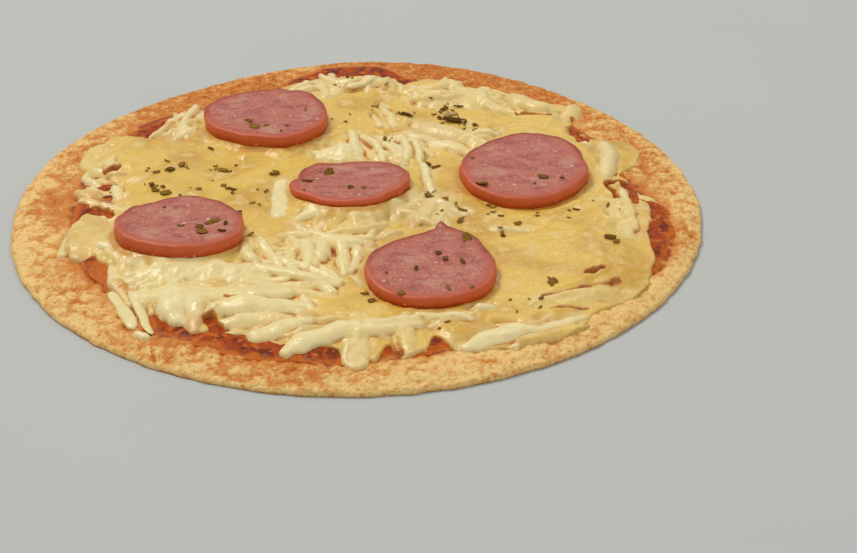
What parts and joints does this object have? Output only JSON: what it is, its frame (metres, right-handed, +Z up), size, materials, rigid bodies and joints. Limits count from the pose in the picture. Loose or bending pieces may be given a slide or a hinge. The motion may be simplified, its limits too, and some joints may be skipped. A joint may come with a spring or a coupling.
{
  "type": "cheese bread pizza",
  "caption": "Whole round pizza on thin flatbread crust with tomato sauce, melted and shredded cheese, sausage slices and dried herb flakes.",
  "frame": {"origin": "middle of the flat underside of the crust", "axes": "+Z up through the crust, towards the cheese; +X to the right and +Y away from someone who sees the pizza as in the picture"},
  "size_m": [0.2211, 0.222, 0.013],
  "materials": {
    "crust": "dry baked flatbread, toasted in patches",
    "sauce": "moist tomato sauce",
    "cheese": "melted cheese, soft sheen",
    "sausage": "cut meat face, slightly moist, with a redder casing",
    "herb": "dried leaf flakes"
  },
  "bodies": {
    "root": {"crust": "crust", "sauce": "sauce", "cheese": "cheese", "sausage_slice_1": "sausage", "sausage_slice_2": "sausage", "sausage_slice_3": "sausage", "sausage_slice_4": "sausage", "sausage_slice_5": "sausage"}
  },
  "joints": []
}
